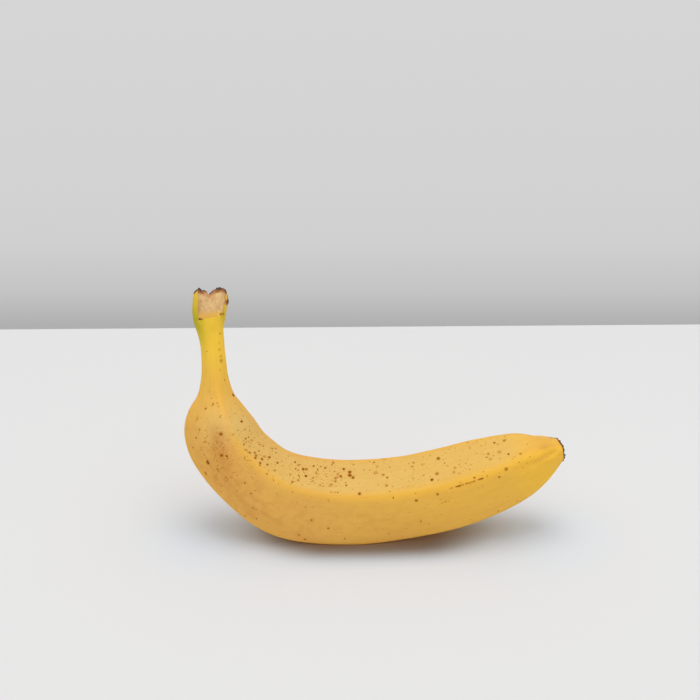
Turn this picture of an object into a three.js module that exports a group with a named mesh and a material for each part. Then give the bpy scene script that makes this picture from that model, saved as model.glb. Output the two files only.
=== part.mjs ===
// A ripe banana as one solid fruit, in millimetres with +Z up. It rests on a face of its belly, the torn
// stalk standing at the -X end and the blossom tip at the +X end, and the plane of its bend leans back.
import * as THREE from "three";

// Lengths are measured along the middle of the fruit, from the torn stalk end to the blossom tip.
const LENGTH = 236.2;
const LEAN = 17; // degrees from upright to the plane of the bend, away from -Y

// Direction of travel within that plane at each length: 0 runs along +X and -90 straight down.
const HEADING = [
  [0, -95], [8, -95.4], [14, -87.6], [20, -81.2], [26, -84.6], [45, -87.9], [56, -86.4], [66, -70.1],
  [78, -51.7], [95, -37.5], [115, -11.1], [140, 1.7], [170, 10.9], [200, 19.6], [222, 21.6], [LENGTH, 23],
];

// Distance from the middle out to the ridges: swollen stalk top, neck, shoulder, body and tip.
const RIDGE_RADIUS = [
  [0, 7.8], [8, 7.9], [14, 7.2], [19, 6], [24, 5.6], [32, 5.7], [41, 6.6], [48, 8.9], [54, 13.1],
  [60, 15.9], [66, 17.2], [75, 17.7], [90, 18.6], [110, 20.2], [135, 20], [160, 19.8], [185, 19.7],
  [200, 19], [212, 17.2], [222, 14.8], [229, 11.5], [LENGTH, 6.6],
];

// How far the faces between the ridges sink in: 0 leaves a round section, 1 makes the faces flat.
const FLATNESS = [
  [0, 0.2], [30, 0.45], [50, 0.6], [62, 0.58], [90, 0.72], [190, 0.74], [218, 0.85], [229, 1.05],
  [LENGTH, 0.7],
];
const BELLY_FACE = 3; // the face it rests on, counted from the first ridge
const BELLY_FLATNESS = [[44, 0.9], [66, 1], [90, 1.1], [115, 1.1], [175, 1.1], [215, 1]]; // times FLATNESS

// The five ridges, in degrees round the section from the side the fruit shows to the inside of the bend.
const BODY_RIDGES = [20, 92, 157, 222, 294];
const TIP_RIDGES = [0, 56, 128, 200, 296];
const RIDGE_SHIFT = [[0, 0], [204, 0], [216, 0.1], [226, 0.38], [234, 0.95], [LENGTH, 1]];
// How far all five turn together on top of that.
const RIDGE_TWIST = [
  [0, -12], [34, -14], [52, -3], [70, 1], [90, 2], [114, -1], [130, -5], [LENGTH, -5],
];
const RIDGE_SOFTNESS = 8; // degrees each side over which a ridge is rounded

// The stalk was torn off: a scoop facing SCOOP_FACING runs from a low lip up to a ragged back wall.
const SCOOP_FACING = 5;
const SCOOP_LIP = 11.9;
const LIP_SLANT = 1.2; // how much higher the lip is at the inside of the bend
const SCOOP_FLOOR = [-0.4, 0.85]; // where the torn face starts and ends, in shares of the radius
const SCOOP_SIDES = [0.72, 0.86]; // its side walls, in shares of the radius
const SCOOP_SHIFT = 0.04; // how far it lies towards the inside of the bend, in the same shares
const STALK_BLEND = 34; // length over which the rings square up again below the torn end
const STALK_RIM = [
  [-1, 1.8], [-0.85, 0.3], [-0.58, 0.7], [-0.3, 1.5], [-0.12, 2.5], [0.15, 0.5], [0.35, -0.6],
  [0.55, -1.2], [0.75, -1], [0.9, 0.4], [1, 3],
];
const TEAR = { height: 0.25, across: 11, along: 9, skew: 4.5 }; // lumps of the torn fibres

// The blunt dried scar at the blossom tip: share of its radius, and how far it stands out there.
const TIP_SCAR = [[1, 0], [0.94, 0.4], [0.76, 0.2], [0.5, -0.7], [0.26, -0.3], [0.1, 0.5]];
const TIP_EDGE = { height: 0.3, lobes: 5, swell: 2, turn: 30, reach: 6 }; // its uneven edge
const TIP_SLANT = { height: 2.6, facing: 10 }; // the side where that edge stands furthest out

const SEAT_DEPTH = 1; // how much of the belly is pressed flat where the fruit rests
// Slow unevenness of the skin: its height on a 1 mm radius, and how it runs along and round the fruit.
const WAVE = { height: 0.011, along: 17, beat: 29, bow: 3, twist: 2 };

// Spacing of the rings: [up to this length, step].
const RING_STEPS = [[34, 2], [80, 2], [198, 3], [LENGTH, 1.7]];
const STEPS_PER_FACE = 8;
const TORN_RINGS = [0.9, 0.78, 0.62, 0.45, 0.28, 0.13];
const PATH_STEP = 0.5;

const PEEL = { color: 0xe3b04a, roughness: 0.48, metalness: 0 };

const radians = THREE.MathUtils.degToRad;

// A smooth curve through a table of [position, value] pairs.
function valueAt(table, position) {
  const last = table.length - 1;
  const x = THREE.MathUtils.clamp(position, table[0][0], table[last][0]);
  let i = 0;
  while (i < last - 1 && x > table[i + 1][0]) i += 1;
  const rise = (k) => (table[k + 1][1] - table[k][1]) / (table[k + 1][0] - table[k][0]);
  const slope = (k) => {
    if (k === 0) return rise(0);
    if (k === last) return rise(last - 1);
    const before = table[k][0] - table[k - 1][0];
    const after = table[k + 1][0] - table[k][0];
    return (rise(k - 1) * after + rise(k) * before) / (before + after);
  };
  const span = table[i + 1][0] - table[i][0];
  const t = (x - table[i][0]) / span;
  const ease = t * t * (3 - 2 * t);
  const leaving = t * (1 - t) * (1 - t) * span * slope(i);
  const arriving = t * t * (t - 1) * span * slope(i + 1);
  return table[i][1] + (table[i + 1][1] - table[i][1]) * ease + leaving + arriving;
}

// The middle of the fruit as points in the plane of the bend, one each PATH_STEP.
const path = [new THREE.Vector2(0, 0)];
for (let along = PATH_STEP / 2; along < LENGTH; along += PATH_STEP) {
  const heading = radians(valueAt(HEADING, along));
  const step = new THREE.Vector2(Math.cos(heading), Math.sin(heading)).multiplyScalar(PATH_STEP);
  path.push(path[path.length - 1].clone().add(step));
}

// A point given by length, angle round the section and distance from the middle.
function placed(along, angle, radius) {
  const k = THREE.MathUtils.clamp(along / PATH_STEP, 0, path.length - 1.001);
  const before = Math.floor(k);
  const middle = path[before].clone().lerp(path[before + 1], k - before);
  const heading = radians(valueAt(HEADING, along));
  const beyond = along - THREE.MathUtils.clamp(along, 0, LENGTH);
  const outward = radius * Math.cos(radians(angle));
  const inward = radius * Math.sin(radians(angle));
  const across = middle.x + beyond * Math.cos(heading) - inward * Math.sin(heading);
  const up = middle.y + beyond * Math.sin(heading) + inward * Math.cos(heading);
  const lean = radians(LEAN);
  return new THREE.Vector3(
    across,
    up * Math.sin(lean) - outward * Math.cos(lean),
    up * Math.cos(lean) + outward * Math.sin(lean),
  );
}

function ridgesAt(along) {
  const shift = valueAt(RIDGE_SHIFT, along);
  const twist = valueAt(RIDGE_TWIST, along);
  return BODY_RIDGES.map((angle, k) => angle + (TIP_RIDGES[k] - angle) * shift + twist);
}

// How far the straight face between two ridges lies inside the unit circle at an angle.
function sunkAt(angle, ridges, belly) {
  const turned = ridges[0] + THREE.MathUtils.euclideanModulo(angle - ridges[0], 360);
  const ends = [...ridges, ridges[0] + 360];
  const k = ends.findIndex((end, i) => i > 0 && turned <= end) - 1;
  const half = (ends[k + 1] - ends[k]) / 2;
  const face = Math.cos(radians(half)) / Math.cos(radians(turned - ends[k] - half));
  return (1 - face) * (k === BELLY_FACE ? belly : 1);
}

function skinRadius(along, angle) {
  const ridges = ridgesAt(along);
  const belly = valueAt(BELLY_FLATNESS, along);
  let sunk = 0;
  for (let k = -2; k <= 2; k += 1) {
    const share = Math.abs(k) === 2 ? 1 / 8 : 1 / 4;
    sunk += share * sunkAt(angle + (k * RIDGE_SOFTNESS) / 2, ridges, belly);
  }
  const radius = valueAt(RIDGE_RADIUS, along);
  const swell = Math.sin(along / WAVE.along + WAVE.bow * Math.sin(radians(angle)));
  const wave = WAVE.height * swell * Math.cos(along / WAVE.beat + radians(WAVE.twist * angle));
  return radius * (1 - valueAt(FLATNESS, along) * sunk + wave);
}

// Height of the torn face below the nominal end, at a point of the section given in shares of its radius.
function tornDepth(share, angle) {
  const facing = share * Math.cos(radians(angle - SCOOP_FACING));
  const sideways = share * Math.sin(radians(angle - SCOOP_FACING));
  const rim = valueAt(STALK_RIM, sideways);
  const down = THREE.MathUtils.smoothstep(facing, ...SCOOP_FLOOR);
  const within = 1 - THREE.MathUtils.smoothstep(Math.abs(sideways - SCOOP_SHIFT), ...SCOOP_SIDES);
  const lump = Math.sin(TEAR.across * sideways + TEAR.skew * facing);
  const ragged = TEAR.height * lump * Math.cos(TEAR.along * facing - TEAR.skew * sideways);
  const lip = SCOOP_LIP - LIP_SLANT * sideways;
  return rim + (lip - rim) * down * within + ragged;
}

function tipEdge(angle) {
  const swell = Math.cos(radians(TIP_EDGE.swell * angle + TIP_EDGE.turn));
  const slant = TIP_SLANT.height * Math.cos(radians(angle - TIP_SLANT.facing));
  return slant + TIP_EDGE.height * Math.sin(radians(TIP_EDGE.lobes * angle)) * swell;
}

const ringLengths = [0];
for (const [limit, step] of RING_STEPS) {
  const start = ringLengths[ringLengths.length - 1];
  const count = Math.round((limit - start) / step);
  for (let k = 1; k <= count; k += 1) ringLengths.push(start + ((limit - start) * k) / count);
}

// Angles round the section, with a line of points on every ridge.
function anglesAt(along) {
  const ridges = ridgesAt(along);
  const ends = [...ridges, ridges[0] + 360];
  return ridges.flatMap((ridge, k) =>
    Array.from({ length: STEPS_PER_FACE }, (_, j) => ridge + ((ends[k + 1] - ridge) * j) / STEPS_PER_FACE),
  );
}

// Rings from the middle of the torn face, out over its rim, down the skin and in over the tip scar.
const rings = [];
for (const share of [...TORN_RINGS].reverse()) {
  rings.push(anglesAt(0).map((angle) => {
    const along = tornDepth(share, angle);
    return placed(along, angle, share * skinRadius(along, angle));
  }));
}
for (const length of ringLengths) {
  rings.push(anglesAt(length).map((angle) => {
    const squared = Math.max(0, 1 - length / STALK_BLEND);
    const ragged = tipEdge(angle) * THREE.MathUtils.smoothstep(length, LENGTH - TIP_EDGE.reach, LENGTH);
    const along = length + tornDepth(1, angle) * squared + ragged;
    return placed(along, angle, skinRadius(Math.min(along, LENGTH), angle));
  }));
}
for (const [share, standing] of TIP_SCAR.slice(1)) {
  rings.push(anglesAt(LENGTH).map((angle) => {
    const along = LENGTH + standing + tipEdge(angle) * share;
    return placed(along, angle, share * skinRadius(LENGTH, angle));
  }));
}

const around = rings[0].length;
const points = [placed(tornDepth(0, 0), 0, 0), ...rings.flat()];
points.push(placed(LENGTH + TIP_SCAR[TIP_SCAR.length - 1][1], 0, 0));
const faces = [];
for (let j = 0; j < around; j += 1) {
  const next = (j + 1) % around;
  faces.push(0, 1 + j, 1 + next);
  for (let i = 0; i < rings.length - 1; i += 1) {
    const upper = 1 + i * around;
    const lower = upper + around;
    faces.push(upper + j, lower + j, upper + next, upper + next, lower + j, lower + next);
  }
  const end = 1 + (rings.length - 1) * around;
  faces.push(end + j, points.length - 1, end + next);
}

// Press the seat flat, and bring the fruit over the origin with its seat at the height 0.
const seat = Math.min(...points.map((point) => point.z)) + SEAT_DEPTH;
for (const point of points) point.z = Math.max(point.z, seat);
const centre = new THREE.Box3().setFromPoints(points).getCenter(new THREE.Vector3());
for (const point of points) point.sub(new THREE.Vector3(centre.x, centre.y, seat));

const geometry = new THREE.BufferGeometry().setFromPoints(points);
geometry.setIndex(faces);
geometry.computeVertexNormals();

const banana = new THREE.Mesh(geometry, new THREE.MeshStandardMaterial(PEEL));
banana.name = "banana";

const group = new THREE.Group();
group.add(banana);

export default group;
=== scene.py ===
from math import radians

import bmesh
import bpy
import numpy as np
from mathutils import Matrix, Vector, noise


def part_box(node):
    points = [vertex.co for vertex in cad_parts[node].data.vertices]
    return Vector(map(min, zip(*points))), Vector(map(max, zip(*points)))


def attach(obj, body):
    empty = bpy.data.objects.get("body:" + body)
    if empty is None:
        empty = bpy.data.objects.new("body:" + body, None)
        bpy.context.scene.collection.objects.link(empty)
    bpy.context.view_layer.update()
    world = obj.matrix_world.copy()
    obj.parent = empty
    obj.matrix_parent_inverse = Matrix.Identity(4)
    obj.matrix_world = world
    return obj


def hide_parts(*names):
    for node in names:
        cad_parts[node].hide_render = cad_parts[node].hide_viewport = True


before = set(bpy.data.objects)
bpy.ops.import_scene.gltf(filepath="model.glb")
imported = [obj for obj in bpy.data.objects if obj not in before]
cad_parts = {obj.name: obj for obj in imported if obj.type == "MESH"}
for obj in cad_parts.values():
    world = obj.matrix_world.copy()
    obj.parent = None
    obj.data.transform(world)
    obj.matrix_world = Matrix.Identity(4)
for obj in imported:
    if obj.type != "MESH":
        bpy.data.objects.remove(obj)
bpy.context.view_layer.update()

# Lengths are in mm along the middle of the fruit, from the torn stalk to the blossom tip. Angles are in
# degrees round its section, from the side it shows towards the inside of the bend.
banana = {
    "length": 236.2,
    "lean": 17,
    "heading": [
        (0, -95), (8, -95.4), (14, -87.6), (20, -81.2), (26, -84.6), (45, -87.9), (56, -86.4), (66, -70.1),
        (78, -51.7), (95, -37.5), (115, -11.1), (140, 1.7), (170, 10.9), (200, 19.6), (222, 21.6),
        (236.2, 23),
    ],
    "ridgeRadius": [
        (0, 7.8), (8, 7.9), (14, 7.2), (19, 6), (24, 5.6), (32, 5.7), (41, 6.6), (48, 8.9), (54, 13.1),
        (60, 15.9), (66, 17.2), (75, 17.7), (90, 18.6), (110, 20.2), (135, 20), (160, 19.8), (185, 19.7),
        (200, 19), (212, 17.2), (222, 14.8), (229, 11.5), (236.2, 6.6),
    ],
    "flatness": [
        (0, 0.2), (30, 0.45), (50, 0.6), (62, 0.58), (90, 0.72), (190, 0.74), (218, 0.85), (229, 1.05),
        (236.2, 0.7),
    ],
    "bellyFace": 3,
    "bellyFlatness": [(44, 0.9), (66, 1), (90, 1.1), (115, 1.1), (175, 1.1), (215, 1)],
    "bodyRidges": [20, 92, 157, 222, 294],
    "tipRidges": [0, 56, 128, 200, 296],
    "ridgeShift": [(0, 0), (204, 0), (216, 0.1), (226, 0.38), (234, 0.95), (236.2, 1)],
    "ridgeTwist": [(0, -12), (34, -14), (52, -3), (70, 1), (90, 2), (114, -1), (130, -5), (236.2, -5)],
    "ridgeSoftness": 8,
    "scoopFacing": 5,
    "scoopLip": 11.9,
    "lipSlant": 1.2,
    "scoopFloor": (-0.4, 0.85),
    "scoopSides": (0.72, 0.86),
    "scoopShift": 0.04,
    "stalkBlend": 34,
    "stalkRim": [
        (-1, 1.8), (-0.85, 0.3), (-0.58, 0.7), (-0.3, 1.5), (-0.12, 2.5), (0.15, 0.5), (0.35, -0.6),
        (0.55, -1.2), (0.75, -1), (0.9, 0.4), (1, 3),
    ],
    "tipSlant": 2.6,
    "tipFacing": 10,
    "tipScar": [(0, 0.5), (0.1, 0.5), (0.26, -0.3), (0.5, -0.7), (0.76, 0.2), (0.94, 0.4), (1, 0)],
    "seatDepth": 1,
    "tornRows": 36,
    "skinRows": [(16, 0.32), (222, 0.8), (236.2, 0.35)],  # ring spacing up to each length
    "scarRows": 22,
    "columnsPerFace": 40,
    "teeth": 0.55,  # height of the ragged dried rim
    "peelThickness": 0.14,  # share of the stalk's radius
    "fibres": 0.3,  # height of the torn strands
    "fleshRise": 0.45,
    "unevenness": 0.2,
    "neckGrooves": 0.1,
    "tipTeeth": 0.14,
    "tipCrest": {"height": 0.5, "angle": 25, "spread": 10},
    "tipGroove": {"height": 1.1, "angle": 5, "spread": 8},
    "flap": {"height": 0.9, "along": 4.2, "reach": 1.7, "angle": 72, "spread": 15},
    "notch": {"height": 0.5, "along": 10.3, "reach": 0.8, "angle": 55, "spread": 14},
}


def valueAt(table, position):
    x, y = np.array(table, float).T
    position = np.clip(position, x[0], x[-1])
    gap = np.diff(x)
    rise = np.diff(y) / gap
    between = (rise[:-1] * gap[1:] + rise[1:] * gap[:-1]) / (gap[:-1] + gap[1:])
    slope = np.r_[rise[0], between, rise[-1]]
    i = np.clip(np.searchsorted(x, position, side="right") - 1, 0, len(gap) - 1)
    t = (position - x[i]) / gap[i]
    eased = y[i] + (y[i + 1] - y[i]) * t * t * (3 - 2 * t)
    return eased + gap[i] * t * (1 - t) * ((1 - t) * slope[i] - t * slope[i + 1])


def smoothStep(value, low, high):
    t = np.clip((value - low) / (high - low), 0, 1)
    return t * t * (3 - 2 * t)


def turnFrom(angle, start):  # signed degrees, the short way round
    return (angle - start + 180) % 360 - 180


stations = np.arange(0, banana["length"] + 0.5, 0.5)
headings = np.radians(valueAt(banana["heading"], stations[1:] - 0.25))
middle = np.r_[[[0, 0]], np.cumsum(np.c_[np.cos(headings), np.sin(headings)] * 0.5, axis=0)]


def placed(along, angle, radius):
    inside = np.clip(along, 0, banana["length"])
    heading = np.radians(valueAt(banana["heading"], along))
    outward = radius * np.cos(np.radians(angle))
    inward = radius * np.sin(np.radians(angle))
    beyond = along - inside
    across = np.interp(inside, stations, middle[:, 0]) + beyond * np.cos(heading) - inward * np.sin(heading)
    up = np.interp(inside, stations, middle[:, 1]) + beyond * np.sin(heading) + inward * np.cos(heading)
    lean = radians(banana["lean"])
    back = up * np.sin(lean) - outward * np.cos(lean)
    return np.stack([across, back, up * np.cos(lean) + outward * np.sin(lean)], -1)


def ridgesAt(along):
    body, tip = np.array(banana["bodyRidges"], float), np.array(banana["tipRidges"], float)
    twist = valueAt(banana["ridgeTwist"], along)[..., None]
    return body + (tip - body) * valueAt(banana["ridgeShift"], along)[..., None] + twist


def sunkAt(angle, ridges, belly):  # how far the straight face lies inside the unit circle
    turned = ridges[..., 0] + np.mod(angle - ridges[..., 0], 360)
    ends = np.concatenate([ridges, ridges[..., :1] + 360], -1)
    face = (turned[..., None] >= ends[..., 1:]).sum(-1).clip(0, 4)
    low = np.take_along_axis(ends, face[..., None], -1)[..., 0]
    high = np.take_along_axis(ends, face[..., None] + 1, -1)[..., 0]
    half = np.radians((high - low) / 2)
    straight = np.cos(half) / np.cos(np.radians(turned - low) - half)
    return (1 - straight) * np.where(face == banana["bellyFace"], belly, 1)


def skinRadius(along, angle):
    along, angle = np.broadcast_arrays(along, angle)
    ridges = ridgesAt(along)
    belly = valueAt(banana["bellyFlatness"], along)
    sunk = 0
    for k, share in zip(range(-2, 3), (1 / 8, 1 / 4, 1 / 4, 1 / 4, 1 / 8)):
        sunk = sunk + share * sunkAt(angle + k * banana["ridgeSoftness"] / 2, ridges, belly)
    swell = np.sin(along / 17 + 3 * np.sin(np.radians(angle)))
    wave = 0.011 * swell * np.cos(along / 29 + np.radians(2 * angle))
    return valueAt(banana["ridgeRadius"], along) * (1 - valueAt(banana["flatness"], along) * sunk + wave)


def tornDepth(share, angle):
    turned = np.radians(angle - banana["scoopFacing"])
    facing, sideways = share * np.cos(turned), share * np.sin(turned)
    rim = valueAt(banana["stalkRim"], sideways)
    down = smoothStep(facing, *banana["scoopFloor"])
    within = 1 - smoothStep(np.abs(sideways - banana["scoopShift"]), *banana["scoopSides"])
    ragged = 0.25 * np.sin(11 * sideways + 4.5 * facing) * np.cos(9 * facing - 4.5 * sideways)
    lip = banana["scoopLip"] - banana["lipSlant"] * sideways
    return rim + (lip - rim) * down * within + ragged * (1 - 0.7 * down)


def tipEdge(angle):
    slant = banana["tipSlant"] * np.cos(np.radians(angle - banana["tipFacing"]))
    return slant + 0.3 * np.sin(np.radians(5 * angle)) * np.cos(np.radians(2 * angle + 30))


def roughness(points, scale, seed=0):  # smooth noise from about -1 to 1 at each point
    shape = points.shape[:-1]
    flat = (points.reshape(-1, 3) / np.array(scale) + seed).tolist()
    return np.array([noise.noise(Vector(point)) for point in flat]).reshape(shape) * 1.6


def bumpAt(bump, along, angle):  # a rounded bump, or a long crest where it has no place along the fruit
    away = (turnFrom(angle, bump["angle"]) / bump["spread"]) ** 2
    if "along" in bump:
        away = away + ((along - bump["along"]) / bump["reach"]) ** 2
    return bump["height"] * np.exp(-away)


def anglesAt(along):  # a column of points runs along every ridge
    ridges = ridgesAt(along)
    ends = np.concatenate([ridges, ridges[..., :1] + 360], -1)
    steps = np.arange(banana["columnsPerFace"]) / banana["columnsPerFace"]
    faces = ends[..., :-1, None] + (ends[..., 1:] - ends[..., :-1])[..., None] * steps
    angles = faces.reshape(*faces.shape[:-2], -1)
    return np.concatenate([angles, angles[..., :1] + 360], -1)


def shapeRows():
    lengths = [0.0]
    for limit, step in banana["skinRows"]:
        start = lengths[-1]
        count = round((limit - start) / step)
        lengths += [start + (limit - start) * k / count for k in range(1, count + 1)]
    length = banana["length"]
    tornShares = np.sin(np.linspace(0, np.pi / 2, banana["tornRows"] + 1)[:-1])
    scarShares = np.cos(np.linspace(0, np.pi / 2, banana["scarRows"] + 1)[1:])
    share = np.r_[tornShares, np.ones(len(lengths)), scarShares][:, None]
    nominal = np.r_[np.zeros(len(tornShares)), lengths, np.full(len(scarShares), length)][:, None]
    zone = np.r_[np.full(len(tornShares), 1), np.zeros(len(lengths)), np.full(len(scarShares), 2)]
    angle = anglesAt(nominal[:, 0])
    torn, scar = zone[:, None] == 1, zone[:, None] == 2
    turned = np.radians(angle)
    rimNoise = np.stack([np.cos(turned) * 8, np.sin(turned) * 8, share + 0 * angle], -1)
    atBack = 1 - smoothStep(np.cos(np.radians(angle - banana["scoopFacing"])), 0.2, 0.75)
    jagged = roughness(rimNoise, 1.3) + 0.6 * roughness(rimNoise, 0.6, 5)
    teeth = banana["teeth"] * jagged * (0.3 + 0.7 * atBack)
    nearRim = smoothStep(share, 0.8, 1) * np.clip(1 - nominal / 3, 0, 1) ** 2
    squared = np.clip(1 - nominal / banana["stalkBlend"], 0, 1)
    depth = tornDepth(share, angle)
    across = share * 8 * np.sin(np.radians(angle - banana["scoopFacing"]))
    upSlope = share * 8 * np.cos(np.radians(angle - banana["scoopFacing"]))
    fibreField = np.stack([across, upSlope, 0 * angle], -1)
    strands = roughness(fibreField, (0.9, 4, 1)) + 0.5 * roughness(fibreField, (0.4, 1.5, 1), 9)
    peelEdge = smoothStep(share, 1 - banana["peelThickness"] * 1.6, 1 - banana["peelThickness"] * 0.5)
    flesh = (1 - peelEdge) * (banana["fibres"] * strands + banana["fleshRise"] * smoothStep(share, 0.5, 0.8))
    tipReach = smoothStep(nominal, length - 6, length)
    standing = valueAt(banana["tipScar"], share)
    tipTeeth = banana["tipTeeth"] * roughness(rimNoise, (1.6, 1.6, 9), 20)
    tipTeeth = tipTeeth * smoothStep(nominal, length - 1.5, length)
    skinAlong = nominal + depth * squared + tipEdge(angle) * tipReach + teeth * nearRim + tipTeeth
    scarAlong = length + standing + (tipEdge(angle) + tipTeeth) * share
    along = np.where(torn, depth + flesh + teeth * nearRim, np.where(scar, scarAlong, skinAlong))
    radius = share * skinRadius(np.minimum(along, length), angle)
    straight = np.stack([radius * np.cos(turned), radius * np.sin(turned), along + 0 * angle], -1)
    onSkin = np.where(torn | scar, 0, smoothStep(nominal, 0, 3) * (1 - smoothStep(nominal, 231, 236)))
    neck = smoothStep(along, 6, 16) * (1 - smoothStep(along, 44, 58))
    body = smoothStep(along, 40, 60) * (1 - smoothStep(along, 215, 232))
    relief = banana["unevenness"] * roughness(straight, (14, 14, 22)) * body
    relief += banana["unevenness"] * 0.3 * roughness(straight, (5, 5, 8), 3) * (body + neck)
    relief += banana["neckGrooves"] * roughness(straight, (1.6, 1.6, 30), 7) * neck
    relief += 0.03 * roughness(straight, (1.4, 1.4, 12), 11) * body
    nearTip = smoothStep(along, 208, 221) * (1 - smoothStep(along, 234, 238))
    relief += (bumpAt(banana["tipCrest"], along, angle) - bumpAt(banana["tipGroove"], along, angle)) * nearTip
    flap, notch = bumpAt(banana["flap"], along, angle), bumpAt(banana["notch"], along, angle)
    wrinkles = np.where(scar, 0.3 * roughness(straight, (0.9, 0.9, 3), 31) * share, 0)
    radius = radius + relief * onSkin + (flap - notch) * np.where(scar, 0, share) + wrinkles * 0.3
    along = along + wrinkles
    return zone, share + 0 * angle, along, angle, radius


def skinMasks(zone, share, along, angle, radius):  # painted over the fruit, 0 to 1
    def patch(atLength, atAngle, reach, spread):
        return np.exp(-(((along - atLength) / reach) ** 2) - (turnFrom(angle, atAngle) / spread) ** 2)

    ridges = np.moveaxis(ridgesAt(along), -1, 0)
    nearest = np.min([np.abs(turnFrom(angle, line)) for line in ridges], axis=0)
    # ridge: nearness to the ridge lines, painted brighter yellow there, partly the peel's own hue and partly a
    # painted highlight along the ridges
    ridge = np.exp(-((nearest * np.radians(1) * radius / 1.9) ** 2)) * smoothStep(along, 14, 34)
    ridge = ridge * (1 - smoothStep(along, 210, 222)) + patch(226, 25, 10, 9)
    # top: the upward face in this pose, painted paler, partly the peel's own tone and partly painted sheen
    # where the light falls
    upper = smoothStep(turnFrom(angle, 56), -42, -24) * (1 - smoothStep(turnFrom(angle, 56), 24, 42))
    top = upper * smoothStep(along, 46, 66) * (1 - smoothStep(along, 212, 232))
    green = patch(14, -70, 9, 50) + 0.55 * patch(11, 75, 5, 30) + 0.4 * patch(13, 180, 9, 60)
    stalk = 1 - smoothStep(along, 22, 52)
    tip = (0.5 * smoothStep(along, 120, 205) + 0.5 * smoothStep(along, 208, 226)) * (1 - 0.6 * upper)
    tanned = patch(86, -30, 30, 45) + 0.6 * patch(150, -25, 45, 35) + 0.4 * patch(120, 170, 70, 70)
    tanned = tanned + 0.15 * top
    haze = 0.8 * patch(64, 2, 5, 13) + patch(72, -8, 6, 14) + 0.45 * patch(80, -30, 9, 16)
    haze = haze + 0.25 * patch(90, -52, 8, 12) + 0.6 * patch(229, 4.5, 7, 6) + 0.6 * patch(231, 32, 3, 9)
    haze = haze + 0.35 * patch(99, -44, 4, 8) + 0.5 * patch(150, 205, 12, 16) + 0.4 * patch(110, 150, 9, 14)
    freckles = 0.2 * top + 0.95 * patch(82, 50, 12, 24) + 1.0 * patch(112, 54, 13, 22)
    freckles = freckles + 0.85 * patch(133, 54, 9, 24) + 0.3 * patch(205, 48, 12, 20)
    freckles = freckles + 0.5 * patch(28, 36, 9, 10) + 0.45 * patch(75, -25, 12, 26) + 0.07
    freckles = freckles + 0.45 * patch(68, -15, 16, 35) + 0.35 * patch(120, 120, 40, 25)
    freckles = freckles + 0.3 * patch(170, 190, 25, 30)
    freckles = freckles * smoothStep(along, 18, 30) * (1 - smoothStep(along, 216, 230))
    facing = share * np.cos(np.radians(angle - banana["scoopFacing"]))
    sideways = share * np.sin(np.radians(angle - banana["scoopFacing"]))
    torn = zone[:, None] == 1
    atBack = 1 - smoothStep(facing, 0.1, 0.8)
    toRim = np.where(torn, (1 - share) * 8, np.maximum(along - tornDepth(1, angle), 0))
    dried = np.exp(-((toRim / (0.3 + 0.6 * atBack)) ** 2)) * (0.25 + 0.75 * atBack) * (along < 20)
    belowTop = along - valueAt(banana["stalkRim"], sideways)
    crust = 0.3 + 0.6 * np.exp(-(((sideways - 0.5) / 0.35) ** 2))
    crust = crust + 0.5 * np.exp(-(((sideways + 0.65) / 0.25) ** 2))
    dried += torn * (1 - smoothStep(belowTop, 0.2, 3.2)) * crust
    marks = patch(4.2, 74, 1.6, 12) + 0.9 * patch(10.2, 62, 0.7, 10) + 0.8 * patch(12.6, -36, 0.45, 15)
    dried += np.where(torn & (facing < 0.6), 0, marks)
    lip = torn * smoothStep(along + banana["lipSlant"] * sideways, 8.6, 11.2)
    toTip = np.where(zone[:, None] == 2, 0, banana["length"] + tipEdge(angle) - along)
    dried += np.exp(-((toTip / 0.45) ** 2))
    shoulder = patch(61, 8, 8, 40) + 0.6 * patch(66, 56, 10, 20)
    masks = {"ridge": ridge, "top": top, "green": green, "stalk": stalk, "tip": tip, "haze": haze}
    masks |= {"freckles": freckles, "dried": dried, "shoulder": shoulder, "tanned": tanned, "lip": lip}
    return {name: np.clip(values, 0, 1) for name, values in masks.items()}


def makeBanana():
    zone, share, along, angle, radius = shapeRows()
    points = placed(along, angle, radius)
    seat = points[..., 2].min() + banana["seatDepth"]
    points[..., 2] = np.maximum(points[..., 2], seat)
    low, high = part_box("banana")
    shift = (Vector(low) + Vector(high)) * 500 - Vector((points.min((0, 1)) + points.max((0, 1))) / 2)
    shift.z = -seat
    points = (points + np.array(shift)) / 1000
    turned = np.radians(angle)
    straight = np.stack([radius * np.cos(turned), radius * np.sin(turned), along], -1)
    masks = skinMasks(zone, share, along, angle, radius)
    rows, columns = angle.shape
    mesh = bmesh.new()
    bmesh.ops.create_grid(mesh, x_segments=columns - 1, y_segments=rows - 1, size=0.5)
    straightLayer = mesh.verts.layers.float_vector.new("straight")
    maskLayers = [(mesh.verts.layers.float.new(name), values.tolist()) for name, values in masks.items()]
    for face in mesh.faces:
        across = face.calc_center_median()
        row = int((across.y + 0.5) * (rows - 1))
        face.material_index = int(max(zone[row], zone[min(row + 1, rows - 1)]))
        face.smooth = True
    for vertex in mesh.verts:
        row = round((vertex.co.y + 0.5) * (rows - 1))
        column = round((vertex.co.x + 0.5) * (columns - 1))
        vertex.co = points[row, column]
        vertex[straightLayer] = straight[row, column]
        for layer, values in maskLayers:
            vertex[layer] = values[row][column]
    bmesh.ops.remove_doubles(mesh, verts=mesh.verts, dist=0.000004)
    bmesh.ops.recalc_face_normals(mesh, faces=mesh.faces)
    data = bpy.data.meshes.new("ripeBanana")
    mesh.to_mesh(data)
    mesh.free()
    fruit = bpy.data.objects.new("ripeBanana", data)
    bpy.context.scene.collection.objects.link(fruit)
    return fruit


# Short ways to build shader nodes.
def addNode(tree, kind, links=None, **settings):
    made = tree.nodes.new("ShaderNode" + kind)
    for key, value in settings.items():
        setattr(made, key, value)
    for key, value in (links or {}).items():
        if isinstance(value, bpy.types.NodeSocket):
            tree.links.new(value, made.inputs[key])
        else:
            made.inputs[key].default_value = value
    return made


def maskOf(tree, name):
    return addNode(tree, "Attribute", attribute_name=name).outputs["Fac"]


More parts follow.
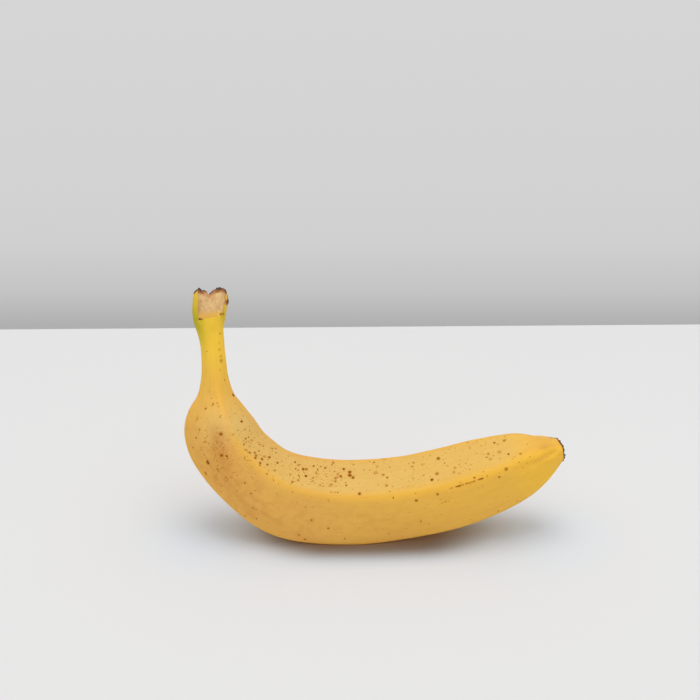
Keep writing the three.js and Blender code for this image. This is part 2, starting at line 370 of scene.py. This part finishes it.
def mathOf(tree, operation, first, second=0.0, third=0.0):
    return addNode(tree, "Math", {0: first, 1: second, 2: third}, operation=operation).outputs[0]


def rangeOf(tree, value, low, high, toLow=0.0, toHigh=1.0):
    links = {"Value": value, "From Min": low, "From Max": high, "To Min": toLow, "To Max": toHigh}
    return addNode(tree, "MapRange", links, interpolation_type="SMOOTHSTEP").outputs["Result"]


def mixOf(tree, amount, first, second, blend="MIX"):
    links = {0: amount, 6: first, 7: second}
    return addNode(tree, "Mix", links, data_type="RGBA", blend_type=blend, clamp_factor=True).outputs[2]


def noiseOf(tree, vector, scale, detail=2.0, distortion=0.0):
    links = {"Vector": vector, "Scale": scale, "Detail": detail, "Distortion": distortion}
    return addNode(tree, "TexNoise", links)


def stretched(tree, vector, scale):
    return addNode(tree, "Mapping", {"Vector": vector, "Scale": scale}, vector_type="POINT").outputs[0]


def rampOf(tree, value, stops):
    low, high = stops[0][0], stops[-1][0]
    share = addNode(tree, "MapRange", {"Value": value, "From Min": low, "From Max": high}).outputs["Result"]
    ramp = addNode(tree, "ValToRGB", {0: share})
    elements = ramp.color_ramp.elements
    while len(elements) < len(stops):
        elements.new(0.5)
    for element, (at, color) in zip(elements, stops):
        element.position = (at - low) / (high - low)
        element.color = color
    return ramp.outputs[0]


def shade(hexCode):
    values = [int(hexCode[k : k + 2], 16) / 255 for k in (0, 2, 4)]
    return [*(v / 12.92 if v <= 0.04045 else ((v + 0.055) / 1.055) ** 2.4 for v in values), 1]


def newMaterial(name):
    material = bpy.data.materials.new(name)
    material.use_nodes = True
    return material, material.node_tree, material.node_tree.nodes["Principled BSDF"]


def newGroup(name, inputs, outputs):
    group = bpy.data.node_groups.new(name, "ShaderNodeTree")
    for title, kind in inputs:
        group.interface.new_socket(title, in_out="INPUT", socket_type="NodeSocket" + kind)
    for title, kind in outputs:
        group.interface.new_socket(title, in_out="OUTPUT", socket_type="NodeSocket" + kind)
    return group, group.nodes.new("NodeGroupInput").outputs, group.nodes.new("NodeGroupOutput").inputs


def useGroup(tree, group, links):
    made = tree.nodes.new("ShaderNodeGroup")
    made.node_tree = group
    for key, value in links.items():
        if isinstance(value, bpy.types.NodeSocket):
            tree.links.new(value, made.inputs[key])
        else:
            made.inputs[key].default_value = value
    return made.outputs


driedSkin = {"light": "AE6C36", "dark": "452A16"}


def makeDriedGroup():  # brown drying that eats into a colour from the edges
    inputs = [("Color", "Color"), ("Amount", "Float"), ("Place", "Vector")]
    group, given, result = newGroup("driedEdge", inputs, [("Color", "Color"), ("Mask", "Float")])
    grain = noiseOf(group, given["Place"], 1.1, 4.0).outputs[0]
    uneven = mathOf(group, "ADD", given["Amount"], mathOf(group, "MULTIPLY_ADD", grain, 0.6, -0.3))
    uneven = mathOf(group, "MULTIPLY", uneven, rangeOf(group, given["Amount"], 0.02, 0.2))
    tan = mixOf(group, rangeOf(group, uneven, 0.15, 0.55), given["Color"], shade(driedSkin["light"]))
    brown = mixOf(group, rangeOf(group, uneven, 0.45, 0.95), tan, shade(driedSkin["dark"]))
    group.links.new(brown, result["Color"])
    group.links.new(rangeOf(group, uneven, 0.2, 0.7), result["Mask"])
    return group


def makeSpotGroup():  # one freckle: strongest at its centre
    inputs = [("Place", "Vector"), ("Centre", "Vector"), ("Radius", "Float"), ("Strength", "Float")]
    group, given, result = newGroup("freckleAt", inputs, [("Mask", "Float")])
    links = {0: given["Place"], 1: given["Centre"]}
    away = addNode(group, "VectorMath", links, operation="DISTANCE").outputs["Value"]
    inner = mathOf(group, "MULTIPLY", given["Radius"], 0.3)
    outer = mathOf(group, "MULTIPLY", given["Radius"], 1.9)
    links = {"Value": away, "From Min": inner, "From Max": outer, "To Min": given["Strength"], "To Max": 0.0}
    faded = addNode(group, "MapRange", links, interpolation_type="SMOOTHSTEP").outputs["Result"]
    group.links.new(faded, result["Mask"])
    return group


ripePeel = {
    "gold": "E4B354",
    "warm": "E0A955",
    # pale: the upward face, partly its own tone and partly painted sheen
    "pale": "DDB767",
    # ridge: partly the peel's own hue, partly a painted highlight along the ridges
    "ridge": "EBB142",
    "tan": "D39848",
    "shoulder": "E1BF76",
    "green": "B2AB00",
    "stalk": "F5CA44",
    "tip": "F3BF3A",
    "haze": "C5853F",
    "freckleHalo": "C6862C",
    "freckle": "965408",
    "freckleDark": "602E00",
    "roughness": 0.46,
    "scratch": {"from": 184, "to": 202, "angle": 11.8, "width": 0.4, "bodyRadius": 19.0},
    # The larger freckles: along, angle, radius, strength
    "marks": [
        (20, 54, 0.6, 0.3), (24, 41, 0.5, 0.22), (27, 39, 0.6, 0.32), (30, 46, 0.7, 0.3), (32, 44, 0.8, 0.42),
        (36, 34, 0.6, 0.25), (76, 54, 0.5, 0.45), (75, 45, 0.5, 0.5), (81, 60, 0.55, 0.6), (80, 32, 0.55, 0.75),
        (82, 39, 0.55, 0.75), (87, 47, 0.5, 0.6), (88, 75, 0.6, 0.6), (110, 58, 0.5, 0.65),
        (111, 48, 0.6, 0.55), (131, 52, 0.6, 0.6), (131, 46, 0.55, 0.6), (132, 61, 0.65, 0.5),
        (140, 82, 0.6, 0.45), (151, 62, 0.9, 0.4), (152, 74, 0.7, 0.4), (169, 63, 0.7, 0.45),
        (174, 63, 0.7, 0.35), (188, 34, 0.7, 0.4), (206, 38, 0.7, 0.4), (211, 47, 0.9, 0.4),
        (98, -37, 0.5, 0.5), (117, -54, 0.6, 0.5), (76, -55, 0.6, 0.6), (83, -19, 0.6, 0.4),
        (48, 78, 0.6, 1), (61, 54, 0.7, 1), (64, 7.5, 0.75, 0.75), (67, 51, 0.8, 0.35), (73, -7.5, 0.7, 0.75),
        (73, -39, 0.7, 0.85), (77, -30, 0.65, 0.45), (83, 63, 0.55, 0.65), (83.5, 37, 0.8, 0.55),
        (84, 33, 0.7, 0.7), (87, 40, 0.6, 0.9), (87.5, 32, 0.6, 0.8), (89.5, 53, 0.6, 0.95),
        (89.5, 82, 0.5, 0.6), (91, 38.5, 0.6, 0.75), (95, 54, 0.6, 0.85), (96, 37.5, 0.55, 0.6),
        (106, 75, 0.65, 1), (108, 60, 0.6, 0.65), (108.5, 32.5, 0.6, 0.65), (110, 72, 0.5, 0.75),
        (111.5, 38.5, 0.65, 0.6), (113, 63.5, 0.85, 0.85), (115, 65, 0.85, 0.65), (115.5, 50, 0.65, 1),
        (119, 75.5, 0.6, 0.8), (119.5, 49, 0.5, 0.65), (121, 59.5, 0.6, 0.6), (123, 76, 0.5, 0.65),
        (125.5, 74, 0.6, 0.85), (129, 39, 0.6, 0.6), (129.5, 85.5, 0.6, 0.7), (133.5, 57, 0.65, 0.75),
        (135, 73, 0.65, 0.95), (138, 59, 0.85, 0.85), (138, 66, 0.8, 0.85), (139.5, 54, 0.7, 0.8),
        (142.5, 24, 0.65, 0.85), (154.5, 55.5, 0.7, 0.55), (155.5, 34, 0.7, 0.5), (168, 5.5, 0.65, 0.7),
        (177, 30.5, 0.65, 0.9), (178, 8, 0.6, 0.65), (180, 38.5, 0.85, 0.55), (182.5, 68, 0.85, 0.75),
        (189, 41, 0.6, 0.5), (206, 49, 0.65, 0.55), (211, 12.5, 0.75, 0.6), (215, 68.5, 0.65, 0.6),
        (219.5, 29.5, 0.6, 0.65), (96, 128, 0.9, 0.7), (131, 168, 1, 0.6), (158, 142, 0.8, 0.8),
        (187, 201, 0.7, 0.6), (70, 190, 0.8, 0.7),
    ],
}


def paintPeel(driedGroup):
    material, tree, shader = newMaterial("ripePeel")
    place = addNode(tree, "Attribute", attribute_name="straight").outputs["Vector"]
    slow = noiseOf(tree, place, 0.03, 3.0).outputs[0]
    patchy = noiseOf(tree, place, 0.11, 5.0).outputs[0]
    blotchy = noiseOf(tree, place, 0.27, 4.0).outputs[0]
    streaks = noiseOf(tree, stretched(tree, place, (1, 1, 0.14)), 0.6, 4.0).outputs[0]
    color = mixOf(tree, rangeOf(tree, slow, 0.35, 0.65), shade(ripePeel["gold"]), shade(ripePeel["warm"]))
    # The upward face is paler: partly the peel's own tone, partly painted sheen where the light falls on it
    color = mixOf(tree, mathOf(tree, "MULTIPLY", maskOf(tree, "top"), 0.8), color, shade(ripePeel["pale"]))
    tanAmount = mathOf(tree, "MULTIPLY", rangeOf(tree, patchy, 0.5, 0.72), 0.22)
    tanAmount = mathOf(tree, "MULTIPLY", tanAmount, mathOf(tree, "SUBTRACT", 1.0, maskOf(tree, "tip")))
    mottle = mathOf(tree, "MULTIPLY", maskOf(tree, "tanned"), rangeOf(tree, blotchy, 0.38, 0.68, 0.0, 0.7))
    color = mixOf(tree, mathOf(tree, "MAXIMUM", tanAmount, mottle), color, shade(ripePeel["tan"]))
    # The ridge colour is partly the peel's own hue and partly a painted highlight along the ridges
    for mask, amount in (("ridge", 0.6), ("tip", 0.8), ("shoulder", 0.6), ("stalk", 1.0)):
        color = mixOf(tree, mathOf(tree, "MULTIPLY", maskOf(tree, mask), amount), color, shade(ripePeel[mask]))
    greenAmount = mathOf(tree, "MULTIPLY", maskOf(tree, "green"), rangeOf(tree, streaks, 0.2, 0.6, 0.6, 1.0))
    color = mixOf(tree, greenAmount, color, shade(ripePeel["green"]))
    color = mixOf(tree, rangeOf(tree, streaks, 0.3, 0.75, 0.0, 0.1), color, shade(ripePeel["warm"]), "MULTIPLY")

    # Bruised haze with fine brown stippling
    fine = noiseOf(tree, place, 0.9, 4.0).outputs[0]
    hazeAmount = mathOf(tree, "MULTIPLY", maskOf(tree, "haze"), rangeOf(tree, fine, 0.3, 0.7, 0.35, 0.9))
    color = mixOf(tree, hazeAmount, color, shade(ripePeel["haze"]))

    # Scattered freckles in four sizes
    wobble = noiseOf(tree, place, 1.4, 1.0).outputs["Color"]
    wobble = addNode(tree, "VectorMath", {0: wobble, 1: (0.5, 0.5, 0.5)}, operation="SUBTRACT").outputs[0]
    wobble = addNode(tree, "VectorMath", {0: wobble, "Scale": 0.75}, operation="SCALE").outputs[0]
    loose = addNode(tree, "VectorMath", {0: place, 1: wobble}, operation="ADD").outputs[0]
    spots = None
    for scale, chance, size, strength in (
        (0.95, 1.0, 0.47, 0.75), (0.55, 1.0, 0.46, 0.88), (0.25, 0.6, 0.2, 0.9), (0.14, 1.0, 0.34, 0.34),
    ):
        cells = addNode(tree, "TexVoronoi", {"Vector": loose, "Scale": scale})
        random = addNode(tree, "SeparateColor", {0: cells.outputs["Color"]}).outputs
        shown = mathOf(tree, "LESS_THAN", random[0], mathOf(tree, "MULTIPLY", maskOf(tree, "freckles"), chance))
        reach = mathOf(tree, "MULTIPLY_ADD", random[1], size * 0.7, size * 0.3)
        links = {"Value": cells.outputs["Distance"], "From Min": mathOf(tree, "MULTIPLY", reach, 0.3)}
        links.update({"From Max": reach, "To Min": 1.0, "To Max": 0.0})
        dot = addNode(tree, "MapRange", links, interpolation_type="SMOOTHSTEP").outputs["Result"]
        dot = mathOf(tree, "MULTIPLY", mathOf(tree, "MULTIPLY", dot, shown), strength)
        dot = mathOf(tree, "MULTIPLY", dot, rangeOf(tree, random[2], 0.0, 1.0, 0.35, 1.0))
        spots = dot if spots is None else mathOf(tree, "MAXIMUM", spots, dot)

    # The larger freckles, each where it is on the fruit
    spotGroup = makeSpotGroup()
    for along, angle, radius, strength in ripePeel["marks"]:
        away = float(skinRadius(np.array(float(along)), np.array(float(angle))))
        centre = (away * np.cos(radians(angle)), away * np.sin(radians(angle)), along)
        links = {"Place": loose, "Centre": centre, "Radius": radius, "Strength": strength}
        spots = mathOf(tree, "MAXIMUM", spots, useGroup(tree, spotGroup, links)["Mask"])

    # A broken scratch just under the main ridge
    scratch = ripePeel["scratch"]
    parts = addNode(tree, "SeparateXYZ", {0: loose}).outputs
    turn = mathOf(tree, "ARCTAN2", parts[1], parts[0])
    off = mathOf(tree, "ABSOLUTE", mathOf(tree, "SUBTRACT", turn, radians(scratch["angle"])))
    across = mathOf(tree, "MULTIPLY", off, scratch["bodyRadius"])
    line = rangeOf(tree, across, scratch["width"] * 0.3, scratch["width"] * 1.5, 1.0, 0.0)
    ends = mathOf(tree, "MULTIPLY", rangeOf(tree, parts[2], scratch["from"] - 2, scratch["from"] + 2),
                  rangeOf(tree, parts[2], scratch["to"] - 2, scratch["to"] + 2, 1.0, 0.0))
    breaks = noiseOf(tree, stretched(tree, place, (0.1, 0.1, 1)), 0.45, 3.0).outputs[0]
    dashes = rangeOf(tree, breaks, 0.38, 0.6, 0.0, 0.75)
    line = mathOf(tree, "MULTIPLY", mathOf(tree, "MULTIPLY", line, ends), dashes)
    spots = mathOf(tree, "MAXIMUM", spots, line)

    color = mixOf(tree, rangeOf(tree, spots, 0.02, 0.4, 0.0, 0.75), color, shade(ripePeel["freckleHalo"]))
    color = mixOf(tree, rangeOf(tree, spots, 0.3, 0.75), color, shade(ripePeel["freckle"]))
    color = mixOf(tree, rangeOf(tree, spots, 0.72, 1.0), color, shade(ripePeel["freckleDark"]))
    links = {"Color": color, "Amount": maskOf(tree, "dried"), "Place": place}
    dried = useGroup(tree, driedGroup, links)
    tree.links.new(dried["Color"], shader.inputs["Base Color"])

    pores = noiseOf(tree, place, 2.6, 3.0).outputs[0]
    rough = mathOf(tree, "MULTIPLY_ADD", pores, 0.16, ripePeel["roughness"] - 0.08)
    rough = mathOf(tree, "MULTIPLY_ADD", spots, 0.15, rough)
    rough = mathOf(tree, "MULTIPLY_ADD", dried["Mask"], 0.3, rough)
    tree.links.new(rough, shader.inputs["Roughness"])
    grain = noiseOf(tree, stretched(tree, place, (1, 1, 0.12)), 2.2, 4.0).outputs[0]
    height = mathOf(tree, "MULTIPLY_ADD", grain, 0.6, mathOf(tree, "MULTIPLY", pores, 0.4))
    height = mathOf(tree, "MULTIPLY_ADD", spots, -0.5, height)
    bump = addNode(tree, "Bump", {"Height": height, "Strength": 0.35, "Distance": 0.00012})
    tree.links.new(bump.outputs[0], shader.inputs["Normal"])
    shader.inputs["Specular IOR Level"].default_value = 0.1
    return material


tornStalk = {"beige": "CFA56D", "cream": "DDBC82", "strand": "BF8A5E", "lip": "DDAE48", "roughness": 0.75}


def paintTornStalk(driedGroup):
    material, tree, shader = newMaterial("tornStalk")
    place = addNode(tree, "Attribute", attribute_name="straight").outputs["Vector"]
    strands = noiseOf(tree, stretched(tree, place, (1, 1, 0.25)), 1.3, 5.0, 0.4).outputs[0]
    patchy = noiseOf(tree, place, 0.4, 3.0).outputs[0]
    color = mixOf(tree, rangeOf(tree, patchy, 0.35, 0.65), shade(tornStalk["beige"]), shade(tornStalk["cream"]))
    color = mixOf(tree, rangeOf(tree, strands, 0.5, 0.75, 0.0, 0.7), color, shade(tornStalk["strand"]))
    color = mixOf(tree, maskOf(tree, "lip"), color, shade(tornStalk["lip"]))
    links = {"Color": color, "Amount": maskOf(tree, "dried"), "Place": place}
    dried = useGroup(tree, driedGroup, links)
    tree.links.new(dried["Color"], shader.inputs["Base Color"])
    shader.inputs["Roughness"].default_value = tornStalk["roughness"]
    fine = noiseOf(tree, stretched(tree, place, (1, 1, 0.3)), 4.0, 4.0).outputs[0]
    bump = addNode(tree, "Bump", {"Height": fine, "Strength": 0.6, "Distance": 0.0003})
    tree.links.new(bump.outputs[0], shader.inputs["Normal"])
    shader.inputs["Subsurface Weight"].default_value = 0.12
    shader.inputs["Subsurface Radius"].default_value = (1.0, 0.6, 0.3)
    shader.inputs["Subsurface Scale"].default_value = 0.0015
    return material


dryTip = {"dark": "33271F", "grey": "6A5848", "brown": "4B3322", "roughness": 0.8}


def paintDryTip():
    material, tree, shader = newMaterial("dryTip")
    place = addNode(tree, "Attribute", attribute_name="straight").outputs["Vector"]
    cracks = noiseOf(tree, place, 0.9, 6.0, 0.5).outputs[0]
    patchy = noiseOf(tree, place, 0.35, 2.0).outputs[0]
    color = mixOf(tree, rangeOf(tree, cracks, 0.4, 0.65), shade(dryTip["dark"]), shade(dryTip["grey"]))
    color = mixOf(tree, rangeOf(tree, patchy, 0.45, 0.7, 0.0, 0.7), color, shade(dryTip["brown"]))
    tree.links.new(color, shader.inputs["Base Color"])
    shader.inputs["Roughness"].default_value = dryTip["roughness"]
    bump = addNode(tree, "Bump", {"Height": cracks, "Strength": 0.8, "Distance": 0.0005})
    tree.links.new(bump.outputs[0], shader.inputs["Normal"])
    return material


fruit = makeBanana()
driedGroup = makeDriedGroup()
for finish in (paintPeel(driedGroup), paintTornStalk(driedGroup), paintDryTip()):
    fruit.data.materials.append(finish)
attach(fruit, "root")
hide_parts("banana")
print("banana:", len(fruit.data.polygons), "faces")


table = {
    "back": 0.239,
    "turn": 1.05,
    "reach": 3.0,
    "thickness": 0.03,
    "rounding": 0.006,
    "color": "E1E1E1",
    "nearFruit": "D9E1EA",  # a little cooler, against the yellow light the fruit throws there
    "shadeReach": 0.02,
    # painted contact shadow on the floor: for each openness of the floor to the room, the share of its colour
    # that is left there
    "shade": [
        (0.2, (0.8, 0.5, 0.3)), (0.35, (0.43, 0.3, 0.21)), (0.5, (0.37, 0.29, 0.23)), (0.6, (0.5, 0.46, 0.44)),
        (0.72, (0.7, 0.73, 0.77)), (0.82, (0.87, 0.9, 0.93)), (0.93, (0.97, 0.98, 1)), (1, (1, 1, 1)),
    ],
}


def makeTable():
    mesh = bmesh.new()
    bmesh.ops.create_cube(mesh, size=1)
    size = Vector((2 * table["reach"], table["reach"] + table["back"], table["thickness"]))
    bmesh.ops.scale(mesh, verts=mesh.verts, vec=size)
    move = Vector((0, table["back"] - size.y / 2, -table["thickness"] / 2))
    bmesh.ops.translate(mesh, verts=mesh.verts, vec=move)
    edges = [edge for edge in mesh.edges if all(v.co.z > -0.001 and v.co.y > 0 for v in edge.verts)]
    rounding = {"offset": table["rounding"], "segments": 5, "profile": 0.5}
    bmesh.ops.bevel(mesh, geom=edges, affect="EDGES", material=-1, **rounding)
    for vertex in mesh.verts:
        if vertex.co.y > 0:
            vertex.co.y += vertex.co.x * np.tan(radians(table["turn"]))
    data = bpy.data.meshes.new("tableTop")
    mesh.to_mesh(data)
    mesh.free()
    top = bpy.data.objects.new("tableTop", data)
    bpy.context.scene.collection.objects.link(top)
    material, tree, shader = newMaterial("paleTable")
    place = addNode(tree, "TexCoord").outputs["Object"]
    cloudy = noiseOf(tree, place, 3.0, 3.0).outputs[0]
    color = mixOf(tree, rangeOf(tree, cloudy, 0.3, 0.7, 0.0, 0.03), shade(table["color"]), shade("C8C8C8"))
    parts = addNode(tree, "SeparateXYZ", {0: place}).outputs
    beside = mathOf(tree, "MAXIMUM", mathOf(tree, "SUBTRACT", mathOf(tree, "ABSOLUTE", parts[0]), 0.07), 0.0)
    ahead = mathOf(tree, "ADD", parts[1], 0.012)
    away = addNode(tree, "VectorMath", {0: addNode(tree, "CombineXYZ", {0: beside, 1: ahead}).outputs[0]},
                   operation="LENGTH").outputs["Value"]
    color = mixOf(tree, rangeOf(tree, away, 0.0, 0.055, 1.0, 0.0), color, shade(table["nearFruit"]))
    # Painted contact shadow: the floor's colour is darkened by how closed in it is, for camera rays only,
    # fading out to the sides
    openness = addNode(tree, "AmbientOcclusion", {"Distance": table["shadeReach"]}, samples=16).outputs["AO"]
    paintedContactShadow = rampOf(tree, openness, [(at, (*tone, 1)) for at, tone in table["shade"]])
    aside = mathOf(tree, "ABSOLUTE", parts[0])
    seen = addNode(tree, "LightPath").outputs["Is Camera Ray"]  # the light thrown back stays as it is
    amount = mathOf(tree, "MULTIPLY", rangeOf(tree, aside, 0.022, 0.058, 1.0, 0.08), seen)
    color = mixOf(tree, amount, color, paintedContactShadow, "MULTIPLY")
    tree.links.new(color, shader.inputs["Base Color"])
    shader.inputs["Roughness"].default_value = 0.9
    shader.inputs["Specular IOR Level"].default_value = 0.2
    data.materials.append(material)


wall = {
    "distance": 1.25,
    "low": -0.8,
    "high": 2.0,
    "reach": 3.0,
    "glow": 1.0,
    # height, grey
    "tones": [(-0.43, "B0B0B0"), (-0.38, "C4C4C4"), (-0.31, "D0D0D0"), (-0.2, "D3D3D3"), (0.05, "D6D6D6")],
}


def makeWall():
    mesh = bmesh.new()
    bmesh.ops.create_grid(mesh, x_segments=1, y_segments=1, size=1)
    for vertex in mesh.verts:
        height = wall["low"] if vertex.co.y < 0 else wall["high"]
        vertex.co = (vertex.co.x * wall["reach"], wall["distance"], height)
    data = bpy.data.meshes.new("wall")
    mesh.to_mesh(data)
    mesh.free()
    back = bpy.data.objects.new("wall", data)
    bpy.context.scene.collection.objects.link(back)
    # The wall glows with its own grey tones, darker towards the bottom, instead of being lit, and its glow also
    # lights the scene from behind
    material, tree, shader = newMaterial("paleWall")
    place = addNode(tree, "TexCoord").outputs["Object"]
    height = addNode(tree, "SeparateXYZ", {0: place}).outputs[2]
    tones = rampOf(tree, height, [(at, shade(grey)) for at, grey in wall["tones"]])
    tree.links.new(tones, shader.inputs["Emission Color"])
    shader.inputs["Emission Strength"].default_value = wall["glow"]
    shader.inputs["Base Color"].default_value = (0, 0, 0, 1)
    shader.inputs["Specular IOR Level"].default_value = 0.0
    data.materials.append(material)


light = {
    "size": 1.0,
    "height": 1.5,
    "power": 7.0,
    # rise of the direction, brightness from there
    "sky": [(-1, 0.4), (0.09, 0.43), (0.3, 0.32), (0.57, 0.53), (0.8, 1.27), (1, 0.64)],
    "frontFill": 2.7,
    "shown": 0.66,  # the plain pale grey that is seen past the table and the wall
}


def makeLight():
    data = bpy.data.lights.new("softBox", "AREA")
    data.shape = "DISK"
    data.size = light["size"]
    data.energy = light["power"]
    lamp = bpy.data.objects.new("softBox", data)
    lamp.location = (0, 0, light["height"])
    bpy.context.scene.collection.objects.link(lamp)
    world = bpy.data.worlds.new("studio")
    world.use_nodes = True
    tree = world.node_tree
    way = addNode(tree, "SeparateXYZ", {0: addNode(tree, "TexCoord").outputs["Generated"]}).outputs
    sky = rampOf(tree, way[2], [(rise, (bright / 2,) * 3 + (1,)) for rise, bright in light["sky"]])
    ahead = rangeOf(tree, way[1], -0.8, -0.6, 1.0, 0.0)
    above, below = rangeOf(tree, way[2], -0.02, 0.0), rangeOf(tree, way[2], 0.14, 0.2, 1.0, 0.0)
    band = mathOf(tree, "MULTIPLY", ahead, mathOf(tree, "MULTIPLY", above, below))
    fill = mathOf(tree, "MULTIPLY", band, light["frontFill"])
    background = tree.nodes["Background"]
    background.inputs["Color"].default_value = (1, 1, 1, 1)
    glow = mathOf(tree, "MULTIPLY_ADD", sky, 2.0, fill)
    seen = addNode(tree, "LightPath").outputs["Is Camera Ray"]
    glow = addNode(tree, "Mix", {0: seen, 2: glow, 3: light["shown"]}, data_type="FLOAT").outputs[0]
    tree.links.new(glow, background.inputs["Strength"])
    bpy.context.scene.world = world
    bpy.context.scene.view_settings.view_transform = "Standard"


camera = {"place": (-0.0114, -0.5932, 0.3527), "pitch": 24, "lens": 74.98}


def makeCamera():
    data = bpy.data.cameras.new("camera")
    data.sensor_width = 36
    data.lens = camera["lens"]
    data.clip_start = 0.01
    eye = bpy.data.objects.new("camera", data)
    eye.location = camera["place"]
    eye.rotation_euler = (radians(90 - camera["pitch"]), 0, 0)
    bpy.context.scene.collection.objects.link(eye)
    bpy.context.scene.camera = eye


makeTable()
makeWall()
makeLight()
makeCamera()
print("table, wall, light and camera are set")
